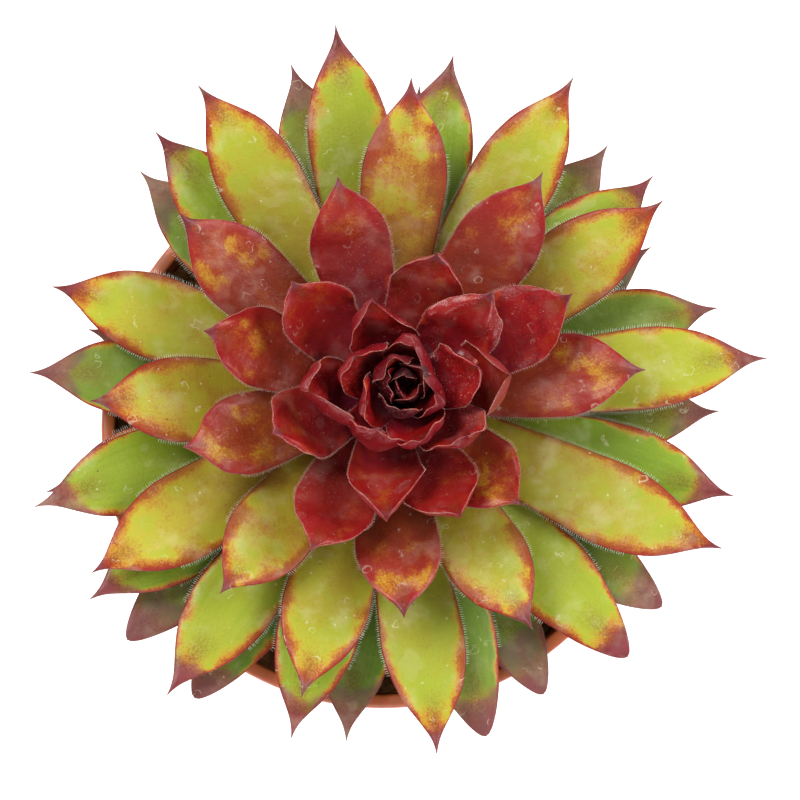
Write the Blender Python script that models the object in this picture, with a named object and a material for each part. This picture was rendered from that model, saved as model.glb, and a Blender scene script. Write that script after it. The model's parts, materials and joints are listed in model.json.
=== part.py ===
# Hens and chicks: one houseleek rosette in a 10.5 cm nursery pot.
# Metres, +Z up. The origin is the middle of the pot's base, on the surface that it stands on.

import math
import random

import bmesh
import bpy

MM = 0.001
FIT_GAP = 0.3 * MM

# Pot
POT_HEIGHT = 90 * MM
RIM_RADIUS = 52.5 * MM
BASE_RADIUS = 37.5 * MM
WALL = 1.3 * MM
FLOOR = 2.2 * MM
COLLAR_DEPTH = 15 * MM
COLLAR_STEP = 1.6 * MM
BEAD = 1.0 * MM
FOOT_ROUND = 2.5 * MM
DRAIN_HOLES = 8
DRAIN_RADIUS = 3.5 * MM
DRAIN_CIRCLE = 25 * MM
CHANNEL_DEPTH = 1.0 * MM
CHANNEL_WIDTH = 5 * MM
POT_SIDES = 48

# Soil
SOIL_BELOW_RIM = 10 * MM
SOIL_SIDES = 24
SOIL_RINGS = 7
SOIL_LUMP = 1.1 * MM
SOIL_FOLLOW = 0.8
STEM_HOLE_DEPTH = 22 * MM

# The stem of the plant is a little off the middle of the pot.
PLANT_X = -0.5 * MM
PLANT_Y = 4.9 * MM
# The heart leans this far from the middle of the stem.
HEART_LEAN_X = 1.6 * MM
HEART_LEAN_Y = -1.6 * MM
STEM_SIDES = 16
STEM_ROOT_RADIUS = 5 * MM

# The spiral: each leaf stands this far round from the next younger one. Leaf 0 is the youngest.
FIRST_AZIMUTH = 227.8
SPIRAL_STEP = -137.753
# Leaves that their neighbours have pushed round, in degrees.
PUSHED = {9: 8, 14: 12, 18: -2, 19: 7, 20: 9, 21: -9, 22: -8, 23: -4, 24: 3, 25: 1, 26: -1, 27: -3, 28: -14,
          29: 6, 30: -2, 31: -4, 32: 2, 33: 3, 34: 7, 35: -1, 36: -8, 37: 12, 38: 1, 39: -1, 40: 3, 41: -6,
          42: 10, 43: -5, 44: -8, 45: 13, 46: -5, 47: 1, 48: 2, 49: -5, 50: 18, 51: -4, 52: -10, 53: 4,
          54: -5, 55: 4, 56: 5, 57: -9, 58: 18, 59: -4, 60: -4, 62: -4, 63: 7, 64: -4, 65: -10, 66: 1,
          67: -1, 68: 3, 70: -6}
# Leaves that grew long or short.
OWN_LENGTH = {18: 1.06, 19: 1.02, 20: 0.90, 21: 0.88, 22: 0.93, 23: 0.97, 24: 1.12, 25: 1.06, 26: 0.94,
              28: 0.79, 29: 0.92, 30: 1.06, 31: 0.91, 32: 1.02, 33: 0.94, 34: 0.95, 35: 1.08, 36: 0.94,
              37: 0.96, 38: 1.06, 39: 0.97, 40: 1.06, 41: 1.06, 42: 0.96, 43: 1.03, 45: 0.95, 46: 1.05,
              48: 1.02, 49: 0.97, 51: 0.97, 53: 0.97, 54: 1.02, 60: 1.01, 66: 0.97, 68: 1.03}
# Leaves whose point bends to one side, in millimetres to the left as seen from the stem.
HOOKED = {22: 1.0, 24: 1.0, 25: 0.8, 26: -0.5, 29: -0.9, 30: 1.2, 33: -0.9, 35: 0.5, 38: 0.6, 40: 1.6, 41: 1.2,
          44: -0.9, 45: 1.2, 46: -0.7, 51: 1.3, 58: 0.7, 59: -1.2, 61: 0.6, 64: 1.1, 67: 1.1}
HOOK_DRAW = 0.4
SEED = 11

# Leaves at some places of the spiral, in millimetres: the reach of the tip from the stem's middle, the
# tip's height over the rim, the width, the thickness, then how far the leaf cups across its width and
# how far it sags below the line from root to tip, as shares of half its width and of its length.
GROWTH = (
    (0, 1.2, 37.0, 4.5, 1.3, 0.50, 0.10),
    (6, 5.5, 39.5, 8.6, 1.6, 0.50, 0.16),
    (12, 11.5, 40.0, 12.0, 2.0, 0.46, 0.18),
    (18, 20.8, 38.0, 13.4, 2.5, 0.36, 0.16),
    (23, 28.5, 35.0, 14.2, 2.9, 0.26, 0.12),
    (25, 34.0, 32.0, 14.6, 3.0, 0.20, 0.10),
    (30, 45.0, 27.5, 15.2, 3.2, 0.14, 0.07),
    (36, 54.5, 22.0, 15.6, 3.4, 0.10, 0.05),
    (42, 66.0, 17.0, 15.9, 3.6, 0.08, 0.03),
    (47, 68.5, 13.0, 15.6, 3.6, 0.08, 0.02),
    (56, 65.8, 8.5, 15.2, 3.3, 0.07, 0.00),
    (64, 64.5, 5.4, 14.6, 3.0, 0.06, 0.00),
    (72, 62.0, 3.2, 13.6, 2.8, 0.05, 0.00),
)

# Each colour of the rosette: its first and last leaf, the height over the rim where each of them is
# rooted, the stem's radius at the upper and lower end, and the colour with its roughness.
TIERS = (
    ("heart_leaves", 0, 17, 29.2, 20.1, 0.8, 3.0, (0.045, 0.006, 0.009), 0.35),
    ("red_leaves", 18, 29, 17.0, 14.7, 4.6, 5.2, (0.26, 0.012, 0.016), 0.32),
    ("bronze_leaves", 30, 36, 12.5, 11.2, 5.4, 5.8, (0.32, 0.10, 0.025), 0.34),
    ("green_leaves", 37, 56, 9.0, 4.8, 6.0, 6.6, (0.34, 0.36, 0.04), 0.36),
    ("old_leaves", 57, 72, 2.6, -0.4, 6.8, 7.0, (0.13, 0.16, 0.06), 0.45),
)
LEAF_SIDES = 8
# Where a leaf has its rings of points, as shares of its length. They are closest at the drawn-out tip.
LEAF_RINGS = (0, 0.04, 0.24, 0.44, 0.60, 0.73, 0.83, 0.91, 0.97, 1)
ROOT_SINK = 2.2 * MM
ROOT_HALF_DEPTH = 0.95 * MM
ROOT_BULK = 0.40
WIDEST = 0.66


def clear_scene():
    for obj in list(bpy.data.objects):
        bpy.data.objects.remove(obj, do_unlink=True)


def make_material(name, colour, roughness):
    material = bpy.data.materials.new(name)
    material.use_nodes = True
    shader = material.node_tree.nodes["Principled BSDF"]
    shader.inputs["Base Color"].default_value = (*colour, 1)
    shader.inputs["Roughness"].default_value = roughness
    shader.inputs["Metallic"].default_value = 0
    material.diffuse_color = (*colour, 1)
    return material


def make_object(name, bm, collection=None):
    mesh = bpy.data.meshes.new(name)
    bm.to_mesh(mesh)
    bm.free()
    obj = bpy.data.objects.new(name, mesh)
    (collection or bpy.context.scene.collection).objects.link(obj)
    return obj


def finish(obj, colour, roughness, sharp_degrees=35):
    obj.data.materials.clear()
    obj.data.materials.append(make_material(obj.name, colour, roughness))
    obj.data.shade_smooth()
    obj.data.set_sharp_from_angle(angle=math.radians(sharp_degrees))


def turned(profile, sides):
    """A solid turned round Z from a profile that starts and ends on the axis."""
    bm = bmesh.new()
    verts = [bm.verts.new((radius, 0, height)) for radius, height in profile]
    edges = [bm.edges.new(pair) for pair in zip(verts, verts[1:])]
    bmesh.ops.spin(bm, geom=verts + edges, axis=(0, 0, 1), cent=(0, 0, 0),
                   angle=math.tau, steps=sides, use_merge=True)
    bmesh.ops.remove_doubles(bm, verts=bm.verts, dist=0.001 * MM)
    bmesh.ops.recalc_face_normals(bm, faces=bm.faces)
    return bm


def apply_boolean(obj, operation, collection, solver):
    """Joins the collection's objects to this one, or cuts them from it, and removes them."""
    boolean = obj.modifiers.new("Join", "BOOLEAN")
    boolean.operation = operation
    boolean.operand_type = "COLLECTION"
    boolean.collection = collection
    boolean.solver = solver
    graph = bpy.context.evaluated_depsgraph_get()
    result = bpy.data.meshes.new_from_object(obj.evaluated_get(graph))
    obj.modifiers.remove(boolean)
    obj.data = result
    for helper in list(collection.objects):
        bpy.data.objects.remove(helper, do_unlink=True)
    bpy.data.collections.remove(collection)


def keep_outer_skin(mesh):
    """Fills the hollows that a union sealed, and drops loose scraps, by keeping the widest piece of skin."""
    bm = bmesh.new()
    bm.from_mesh(mesh)
    left = set(bm.verts)
    skins = []
    while left:
        skin = [left.pop()]
        for vert in skin:
            near = {edge.other_vert(vert) for edge in vert.link_edges} & left
            left -= near
            skin.extend(near)
        skins.append(skin)
    widest = max(skins, key=lambda skin: max(vert.co.x for vert in skin) - min(vert.co.x for vert in skin))
    spare = [vert for skin in skins if skin is not widest for vert in skin]
    bmesh.ops.delete(bm, geom=spare, context="VERTS")
    bm.to_mesh(mesh)
    bm.free()


def new_collection(name):
    collection = bpy.data.collections.new(name)
    bpy.context.scene.collection.children.link(collection)
    return collection


def wall_radius(height):
    """The pot's outer radius under the collar, which leans out from the base."""
    return BASE_RADIUS + (RIM_RADIUS - COLLAR_STEP - BASE_RADIUS) * height / POT_HEIGHT


def inner_radius(height):
    step_height = POT_HEIGHT - COLLAR_DEPTH
    if height > step_height:
        return wall_radius(height) + COLLAR_STEP - WALL
    return wall_radius(height) - WALL


def drain_cutters(collection):
    """The drain holes, and under each a channel that lets the water run out along the base."""
    for number in range(DRAIN_HOLES):
        angle = math.tau * (number + 0.5) / DRAIN_HOLES
        bm = bmesh.new()
        bmesh.ops.create_cone(bm, segments=12, radius1=DRAIN_RADIUS, radius2=DRAIN_RADIUS,
                              depth=4 * FLOOR, cap_ends=True)
        hole = make_object("hole", bm, collection)
        hole.location = (DRAIN_CIRCLE * math.cos(angle), DRAIN_CIRCLE * math.sin(angle), 0)
        bm = bmesh.new()
        bmesh.ops.create_cube(bm, size=1)
        bmesh.ops.scale(bm, vec=(BASE_RADIUS, CHANNEL_WIDTH, 2 * CHANNEL_DEPTH), verts=bm.verts)
        channel = make_object("channel", bm, collection)
        middle = DRAIN_CIRCLE + BASE_RADIUS / 2
        channel.location = (middle * math.cos(angle), middle * math.sin(angle), 0)
        channel.rotation_euler.z = angle


def make_pot():
    step_height = POT_HEIGHT - COLLAR_DEPTH
    profile = [
        (0, 0),
        (BASE_RADIUS - FOOT_ROUND, 0),
        (BASE_RADIUS - 0.7 * MM, 0.7 * MM),
        (wall_radius(FOOT_ROUND), FOOT_ROUND),
        (wall_radius(step_height - COLLAR_STEP), step_height - COLLAR_STEP),
        (wall_radius(step_height) + COLLAR_STEP, step_height),
        (RIM_RADIUS - 0.3 * MM, POT_HEIGHT - 2.4 * BEAD),
        (RIM_RADIUS, POT_HEIGHT - 1.4 * BEAD),
        (RIM_RADIUS - 0.1 * MM, POT_HEIGHT - 0.4 * BEAD),
        (RIM_RADIUS - 0.5 * WALL, POT_HEIGHT),
        (inner_radius(POT_HEIGHT), POT_HEIGHT - 0.5 * BEAD),
        (inner_radius(step_height + COLLAR_STEP), step_height + COLLAR_STEP),
        (inner_radius(step_height), step_height),
        (inner_radius(FLOOR + FOOT_ROUND), FLOOR + FOOT_ROUND),
        (inner_radius(FLOOR) - FOOT_ROUND, FLOOR),
        (0, FLOOR),
    ]
    pot = make_object("pot", turned(profile, POT_SIDES))
    cutters = new_collection("drain cutters")
    drain_cutters(cutters)
    apply_boolean(pot, "DIFFERENCE", cutters, "EXACT")
    finish(pot, (0.40, 0.085, 0.030), 0.42)


def soil_lump(x, y):
    """The uneven top of the potting mix, which fades out at the pot and at the stem."""
    radius = math.hypot(x, y) / RIM_RADIUS
    waves = math.sin(310 * x + 1.3) * math.cos(270 * y) + 0.6 * math.sin(520 * (x + y) + 2.0)
    return SOIL_LUMP * waves * max(0, 1 - radius ** 4)


def make_soil():
    top = POT_HEIGHT - SOIL_BELOW_RIM
    step_height = POT_HEIGHT - COLLAR_DEPTH
    hole_radius = STEM_ROOT_RADIUS + FIT_GAP
    outer = inner_radius(top) - FIT_GAP
    rings = [hole_radius + 2 * MM + (outer - hole_radius - 2 * MM) * ring / SOIL_RINGS
             for ring in range(SOIL_RINGS + 1)]
    profile = [(0, top - STEM_HOLE_DEPTH), (hole_radius, top - STEM_HOLE_DEPTH), (hole_radius, top)]
    profile += [(radius, top) for radius in rings]
    profile += [
        (inner_radius(step_height + COLLAR_STEP) - FIT_GAP, step_height + COLLAR_STEP),
        (inner_radius(step_height) - FIT_GAP, step_height),
        (inner_radius(FLOOR + FOOT_ROUND) - FIT_GAP, FLOOR + FOOT_ROUND),
        (inner_radius(FLOOR) - FOOT_ROUND, FLOOR + FIT_GAP),
        (0, FLOOR + FIT_GAP),
    ]
    bm = turned(profile, SOIL_SIDES)
    for vert in bm.verts:
        radius = math.hypot(vert.co.x, vert.co.y)
        # The stem's hole goes where the stem stands, and the rings round it follow less and less.
        follow = max(0, 1 - max(0, radius - hole_radius) / (SOIL_FOLLOW * (outer - hole_radius)))
        if vert.co.z > top - STEM_HOLE_DEPTH - FIT_GAP:
            vert.co.x += PLANT_X * follow
            vert.co.y += PLANT_Y * follow
        if vert.co.z > top - FIT_GAP and radius > hole_radius + MM:
            vert.co.z += soil_lump(vert.co.x, vert.co.y)
    soil = make_object("soil", bm)
    finish(soil, (0.045, 0.028, 0.018), 0.95, 60)


def growth_of(number):
    """The sizes of a leaf, between those of the nearest two places in the table."""
    for young, old in zip(GROWTH, GROWTH[1:]):
        if number <= old[0]:
            share = (number - young[0]) / (old[0] - young[0])
            return [a + (b - a) * share for a, b in zip(young[1:], old[1:])]
    return list(GROWTH[-1][1:])


def outline(along):
    """Half the width at a share of the length, which ends in a drawn-out point."""
    if along > WIDEST:
        left = (1 - along) / (1 - WIDEST)
        drawn_out = min(1, max(0, (0.55 - left) / 0.4)) ** 1.2
        return math.sin(math.pi / 2 * left) ** (0.95 + 0.5 * drawn_out)
    return 1 - 0.55 * ((WIDEST - along) / WIDEST) ** 1.3


def bulk(along):
    """The thickness at a share of the length."""
    swell = ROOT_BULK + (1 - ROOT_BULK) * math.sin(math.pi / 2 * min(1, along / 0.6))
    return swell * min(1, max(0, (1 - along) / 0.2)) ** 0.6


def axis_of(name):
    """The middle of a tier, seen from above."""
    if name == "heart_leaves":
        return PLANT_X + HEART_LEAN_X, PLANT_Y + HEART_LEAN_Y
    return PLANT_X, PLANT_Y


def make_leaf(number, tier, draw, collection):
    """One leaf with its root in the stem, in its own frame: X outward, Y across, Z up."""
    name, first, last, first_height, last_height, upper_radius, lower_radius = tier[:7]
    reach, tip_height, width, thickness, cup, sag = growth_of(number)
    share = (number - first) / (last - first)
    azimuth = FIRST_AZIMUTH + SPIRAL_STEP * number + PUSHED.get(number, 0)
    reach *= OWN_LENGTH.get(number, 1)
    hook = HOOKED.get(number, 0) or draw.uniform(-HOOK_DRAW, HOOK_DRAW)
    root_x = max(0, (upper_radius + (lower_radius - upper_radius) * share) - ROOT_SINK / MM)
    root_z = first_height + (last_height - first_height) * share
    run, rise = reach - root_x, tip_height - root_z
    bend_x, bend_z = root_x + run / 2 + 2 * sag * rise, root_z + rise / 2 - 2 * sag * run

    bm = bmesh.new()
    bmesh.ops.create_uvsphere(bm, u_segments=LEAF_SIDES, v_segments=len(LEAF_RINGS) - 1, radius=1)
    for vert in bm.verts:
        turn = 1 - math.acos(max(-1, min(1, vert.co.z))) / math.pi
        along = LEAF_RINGS[round(turn * (len(LEAF_RINGS) - 1))]
        ring = math.hypot(vert.co.x, vert.co.y)
        across, over = (vert.co.x / ring, vert.co.y / ring) if ring > 0.01 else (0, 0)
        half = width / 2 * outline(along)
        lift = thickness * bulk(along) * over * (0.36 if over > 0 else 0.64)
        lift += cup * half * across ** 2
        middle_x = (1 - along) ** 2 * root_x + 2 * along * (1 - along) * bend_x + along ** 2 * reach
        middle_z = (1 - along) ** 2 * root_z + 2 * along * (1 - along) * bend_z + along ** 2 * tip_height
        slope_x = (1 - along) * (bend_x - root_x) + along * (reach - bend_x)
        slope_z = (1 - along) * (bend_z - root_z) + along * (tip_height - bend_z)
        length = math.hypot(slope_x, slope_z)
        sway = hook * max(0, (along - 0.78) / 0.22) ** 2
        vert.co = ((middle_x - lift * slope_z / length) * MM,
                   (half * across + sway) * MM,
                   (middle_z + lift * slope_x / length) * MM)
    leaf = make_object(f"{name} {number}", bm, collection)
    leaf.location = (*axis_of(name), POT_HEIGHT)
    leaf.rotation_euler.z = math.radians(azimuth)


def make_tier(tier, draw):
    """One colour of the rosette: its length of stem, with its leaves fused to it."""
    name, first, last, first_height, last_height, upper_radius, lower_radius, colour, roughness = tier
    upper = (POT_HEIGHT / MM + first_height) * MM + ROOT_HALF_DEPTH
    lower = (POT_HEIGHT / MM + last_height) * MM - ROOT_HALF_DEPTH
    profile = [(0, upper), (upper_radius * MM, upper), (lower_radius * MM, lower), (0, lower)]
    if name == "old_leaves":
        soil_top = POT_HEIGHT - SOIL_BELOW_RIM
        profile[3:] = [
            (STEM_ROOT_RADIUS, lower - 2 * MM),
            (STEM_ROOT_RADIUS, soil_top - STEM_HOLE_DEPTH + 3 * MM),
            (0.5 * STEM_ROOT_RADIUS, soil_top - STEM_HOLE_DEPTH + FIT_GAP),
            (0, soil_top - STEM_HOLE_DEPTH + FIT_GAP),
        ]
    bm = turned(profile[::-1], STEM_SIDES)
    bmesh.ops.translate(bm, vec=(*axis_of(name), 0), verts=bm.verts)
    stem = make_object(name, bm)
    leaves = new_collection(name + " leaves")
    for number in range(first, last + 1):
        make_leaf(number, tier, draw, leaves)
    apply_boolean(stem, "UNION", leaves, "MANIFOLD")
    keep_outer_skin(stem.data)
    finish(stem, colour, roughness, 50)


def main():
    clear_scene()
    make_pot()
    make_soil()
    draw = random.Random(SEED)
    for tier in TIERS:
        make_tier(tier, draw)


main()
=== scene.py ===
import json
import math
import random

import bmesh
import bpy
from mathutils import Matrix, Vector, noise

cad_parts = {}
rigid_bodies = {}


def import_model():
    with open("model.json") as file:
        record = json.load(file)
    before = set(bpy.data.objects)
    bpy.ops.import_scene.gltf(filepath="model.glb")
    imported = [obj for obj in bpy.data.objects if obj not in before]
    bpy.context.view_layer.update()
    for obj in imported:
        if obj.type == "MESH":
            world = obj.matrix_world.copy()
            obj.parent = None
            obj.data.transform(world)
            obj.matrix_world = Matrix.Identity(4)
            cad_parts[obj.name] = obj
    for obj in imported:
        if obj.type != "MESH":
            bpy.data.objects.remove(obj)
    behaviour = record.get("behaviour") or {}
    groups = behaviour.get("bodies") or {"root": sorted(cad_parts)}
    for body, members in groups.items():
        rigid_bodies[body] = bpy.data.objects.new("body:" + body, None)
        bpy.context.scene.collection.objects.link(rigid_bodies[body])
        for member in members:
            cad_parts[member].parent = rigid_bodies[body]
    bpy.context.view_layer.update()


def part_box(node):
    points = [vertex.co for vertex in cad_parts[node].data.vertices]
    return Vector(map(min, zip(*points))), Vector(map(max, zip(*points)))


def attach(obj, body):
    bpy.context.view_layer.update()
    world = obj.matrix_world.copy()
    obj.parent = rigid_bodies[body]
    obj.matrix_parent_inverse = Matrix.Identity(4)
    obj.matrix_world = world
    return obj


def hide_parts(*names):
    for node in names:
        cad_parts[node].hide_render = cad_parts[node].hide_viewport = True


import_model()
mm = 0.001
fullTurn = 2 * math.pi

# The rosette's plan, in millimetres and degrees, as in the solids. How far each leaf is pushed round and
# its own length were fitted to the leaf points in the photograph. Leaves 52, 69, 71 and 72 are shorter here
# than in the solids.
rosette = {
    "x": -0.5, "y": 4.9,                                # the stem stands a little off the pot's middle
    "heartX": 1.6, "heartY": -1.6,                      # the heart leans this far from the stem
    "firstAzimuth": 227.8, "step": -137.753, "seed": 11,
    "pushed": {9: 8, 14: 12, 18: -2, 19: 7, 20: 9, 21: -9, 22: -8, 23: -4, 24: 3, 25: 1, 26: -1, 27: -3,
               28: -14, 29: 6, 30: -2, 31: -4, 32: 2, 33: 3, 34: 7, 35: -1, 36: -8, 37: 12, 38: 1, 39: -1,
               40: 3, 41: -6, 42: 10, 43: -5, 44: -8, 45: 13, 46: -5, 47: 1, 48: 2, 49: -5, 50: 18,
               51: -4, 52: -10, 53: 4, 54: -5, 55: 4, 56: 5, 57: -9, 58: 18, 59: -4, 60: -4, 62: -4,
               63: 7, 64: -4, 65: -10, 66: 1, 67: -1, 68: 3, 70: -6},
    "ownLength": {18: 1.06, 19: 1.02, 20: 0.90, 21: 0.88, 22: 0.93, 23: 0.97, 24: 1.12, 25: 1.06, 26: 0.94,
                  28: 0.79, 29: 0.92, 30: 1.06, 31: 0.91, 32: 1.02, 33: 0.94, 34: 0.95, 35: 1.08, 36: 0.94,
                  37: 0.96, 38: 1.06, 39: 0.97, 40: 1.06, 41: 1.06, 42: 0.96, 43: 1.03, 45: 0.95, 46: 1.05,
                  48: 1.02, 49: 0.97, 51: 0.97, 52: 0.98, 53: 0.97, 54: 1.02, 60: 1.01, 66: 0.97, 68: 1.03,
                  69: 0.95, 71: 0.90, 72: 0.95},
    "hooked": {22: 1.0, 24: 1.0, 25: 0.8, 26: -0.5, 29: -0.9, 30: 1.2, 33: -0.9, 35: 0.5, 38: 0.6, 40: 1.6,
               41: 1.2, 44: -0.9, 45: 1.2, 46: -0.7, 51: 1.3, 58: 0.7, 59: -1.2, 61: 0.6, 64: 1.1, 67: 1.1},
    "hookDraw": 0.4,
    # leaf number, reach, tip height over the rim, width, thickness, cup, sag
    "growth": (
        (0, 1.2, 37.0, 4.5, 1.3, 0.50, 0.10), (6, 5.5, 39.5, 8.6, 1.6, 0.50, 0.16),
        (12, 11.5, 40.0, 12.0, 2.0, 0.46, 0.18), (18, 20.8, 38.0, 13.4, 2.5, 0.36, 0.16),
        (23, 28.5, 35.0, 14.2, 2.9, 0.26, 0.12), (25, 34.0, 32.0, 14.6, 3.0, 0.20, 0.10),
        (30, 45.0, 27.5, 15.2, 3.2, 0.14, 0.07), (36, 54.5, 22.0, 15.6, 3.4, 0.10, 0.05),
        (42, 66.0, 17.0, 15.9, 3.6, 0.08, 0.03), (47, 68.5, 13.0, 15.6, 3.6, 0.08, 0.02),
        (56, 65.8, 8.5, 15.2, 3.3, 0.07, 0.00), (64, 64.5, 5.4, 14.6, 3.0, 0.06, 0.00),
        (72, 62.0, 3.2, 13.6, 2.8, 0.05, 0.00)),
    # leaf number, redness of the blade, greenness (a darker green, partly painted shade), brown at the base,
    # width of the red margin, and where the purple of the tip starts
    "paint": ((0, 1.04, 0, 0, 0.3, 0.97), (5, 0.98, 0, 0, 0.3, 0.96), (8, 0.82, 0, 0, 0.3, 0.94),
              (12, 0.76, 0, 0.1, 0.3, 0.94), (18, 0.72, 0, 0.4, 0.4, 0.93), (23, 0.66, 0, 0.6, 0.5, 0.93),
              (27, 0.56, 0, 0.9, 0.5, 0.93), (30, 0.44, 0, 1.0, 0.5, 0.93), (33, 0.30, 0.1, 1.0, 0.45, 0.93),
              (36, 0.14, 0.2, 0.9, 0.42, 0.92), (39, 0.08, 0.2, 0.8, 0.38, 0.92),
              (43, 0.04, 0.25, 0.6, 0.32, 0.92), (50, 0.0, 0.5, 0.35, 0.28, 0.89),
              (56, 0.0, 0.7, 0.25, 0.26, 0.87), (62, 0.0, 0.8, 0.2, 0.24, 0.85),
              (72, 0.0, 0.9, 0.2, 0.22, 0.80)),
    # leaves that are redder or greener than their place in the spiral
    "redder": {24: -0.08, 25: 0.15, 26: 0.08, 27: 0.16, 28: -0.05, 29: -0.08, 30: 0.10, 31: 0.08, 32: 0.14,
               33: 0.20, 34: -0.12, 35: 0.06, 36: -0.05, 42: 0.06, 46: -0.05, 47: 0.04},
    "greener": {42: -0.2, 45: -0.1, 46: -0.15, 48: 0.1, 53: 0.2, 54: 0.2, 61: -0.3, 64: -0.3, 67: -0.3},
    # leaves whose point has withered off
    "blunt": (49, 57, 60, 62, 68, 70),
    # how far the end of a heart leaf curls inward, and how far its sides fold up or out
    "curl": {6: 0.04, 7: 0.06, 8: -0.02, 9: 0.10, 10: -0.05, 11: 0.02, 12: -0.08, 13: 0.18, 14: -0.06,
             15: 0.08, 16: 0.02, 17: -0.16, 18: -0.14, 19: -0.08, 20: 0.04, 21: -0.06, 22: 0.05},
    "folded": {7: 0.4, 8: -0.3, 9: 0.5, 10: -0.3, 12: -0.4, 13: -0.3, 14: 0.6, 15: -0.3, 16: 0.8, 17: -0.5,
               18: 0.3, 19: -0.3, 20: 0.5, 21: -0.3},
    "twisted": {7: 0.4, 8: -0.5, 9: -0.3, 10: 0.4, 11: -0.6, 12: 0.5, 13: 0.3, 14: -0.4, 15: -0.6, 16: 0.8,
                17: 0.5, 18: 0.3, 19: -0.4, 20: 0.5, 21: 0.3},
}
tiers = (
    {"node": "heart_leaves", "slot": "heart_leaf", "leaves": (0, 17), "roots": (29.2, 20.1),
     "stem": (0.8, 3.0), "crumple": 0.95, "Blotch": 0.22, "Wax": 0.35, "DullAndShade": 0.0, "Sparkle": 0.7,
     "Rough": 0.30, "coat": 0.25},
    {"node": "red_leaves", "slot": "red_leaf", "leaves": (18, 29), "roots": (17.0, 14.7),
     "stem": (4.6, 5.2), "crumple": 0.5, "Blotch": 0.44, "Wax": 0.4, "DullAndShade": 0.0, "Sparkle": 0.3,
     "Rough": 0.38, "coat": 0.08},
    {"node": "bronze_leaves", "slot": "bronze_leaf", "leaves": (30, 36), "roots": (12.5, 11.2),
     "stem": (5.4, 5.8), "crumple": 0.32, "Blotch": 0.46, "Wax": 0.7, "DullAndShade": 0.0, "Sparkle": 0.12,
     "Rough": 0.40, "coat": 0.05},
    {"node": "green_leaves", "slot": "green_leaf", "leaves": (37, 56), "roots": (9.0, 4.8),
     "stem": (6.0, 6.6), "crumple": 0.28, "Blotch": 0.26, "Wax": 1.0, "DullAndShade": 0.0, "Sparkle": 0.05,
     "Rough": 0.38, "coat": 0.04},
    {"node": "old_leaves", "slot": "old_leaf", "leaves": (57, 72), "roots": (2.6, -0.4),
     "stem": (6.8, 7.0), "crumple": 0.34, "Blotch": 0.20, "Wax": 0.8, "DullAndShade": 0.7, "Sparkle": 0.05,
     "Rough": 0.46, "coat": 0.02},
)
leafMesh = {"around": 36, "along": 48, "tipCrowding": 1.35}
# Shares of a leaf's length: where it is widest, the taper past that, and where a hooked point begins. Then
# how its thickness is shared out, and how its root sits in the stem, in millimetres.
leafForm = {"widest": 0.66, "taper": 0.34, "needle": 0.018, "hookFrom": 0.78, "hookSpan": 0.22,
            "above": 0.36, "below": 0.64, "lens": 1.25, "rootInset": 2.2, "rootHalf": 0.95}
paintOutputs = (("Colour", "Color"), ("Roughness", "Float"), ("Height", "Float"))


def linear(red, green, blue):
    return [(c / 12.92 if c <= 0.04045 else ((c + 0.055) / 1.055) ** 2.4)
            for c in (red / 255, green / 255, blue / 255)] + [1]


# Camera: almost straight above, as the photograph was taken
cameraPlan = {"away": 0.70, "leanX": -4.3, "leanY": -6.5, "target": (0, 0, 0.09),
              "rimPixels": 280.5, "rimRadius": 0.0525, "middle": (382.6, 427), "frame": 800}


def makeCamera():
    away = cameraPlan["away"]
    side, front = (math.sin(math.radians(cameraPlan[lean])) for lean in ("leanX", "leanY"))
    back = Vector((side, front, math.sqrt(1 - side ** 2 - front ** 2)))
    right = (-back).cross(Vector((0, 1, 0))).normalized()
    matrix = Matrix((right, right.cross(-back), back)).transposed().to_4x4()
    matrix.translation = Vector(cameraPlan["target"]) + back * away
    data = bpy.data.cameras.new("camera")
    camera = bpy.data.objects.new("camera", data)
    bpy.context.scene.collection.objects.link(camera)
    camera.matrix_world = matrix
    data.sensor_width = 36
    data.lens = cameraPlan["rimPixels"] / cameraPlan["rimRadius"] * away / cameraPlan["frame"] * 36
    half = cameraPlan["frame"] / 2
    data.shift_x = (half - cameraPlan["middle"][0]) / cameraPlan["frame"]
    data.shift_y = (cameraPlan["middle"][1] - half) / cameraPlan["frame"]
    bpy.context.scene.camera = camera


makeCamera()
print("camera placed")


# Small helpers for meshes and node trees
def makePiece(name, bm, material, replaced):
    mesh = bpy.data.meshes.new(name)
    bm.to_mesh(mesh)
    bm.free()
    mesh.shade_smooth()
    mesh.materials.append(material)
    piece = bpy.data.objects.new(name, mesh)
    bpy.context.scene.collection.objects.link(piece)
    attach(piece, "root")
    if replaced:
        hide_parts(replaced)
    print("made", name, len(mesh.vertices), "points")
    return piece


def turned(profile, sides):
    bm = bmesh.new()
    verts = [bm.verts.new((radius * mm, 0, height * mm)) for radius, height in profile]
    edges = [bm.edges.new(pair) for pair in zip(verts, verts[1:])]
    bmesh.ops.spin(bm, geom=verts + edges, axis=(0, 0, 1), cent=(0, 0, 0),
                   angle=fullTurn, steps=sides, use_merge=True)
    bmesh.ops.remove_doubles(bm, verts=bm.verts, dist=0.001 * mm)
    bmesh.ops.recalc_face_normals(bm, faces=bm.faces)
    return bm


def node(tree, kind, sockets=None, **settings):
    made = tree.nodes.new(kind)
    for name, value in settings.items():
        setattr(made, name, value)
    for name, value in (sockets or {}).items():
        if isinstance(value, bpy.types.NodeSocket):
            tree.links.new(value, made.inputs[name])
        else:
            made.inputs[name].default_value = value
    return made


def maths(tree, operation, a, b=0.0, clamp=False):
    return node(tree, "ShaderNodeMath", {0: a, 1: b}, operation=operation, use_clamp=clamp).outputs[0]


def remap(tree, value, low, high, start=0.0, end=1.0):
    sockets = {"Value": value, "From Min": low, "From Max": high, "To Min": start, "To Max": end}
    return node(tree, "ShaderNodeMapRange", sockets, interpolation_type="SMOOTHSTEP").outputs["Result"]


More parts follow.
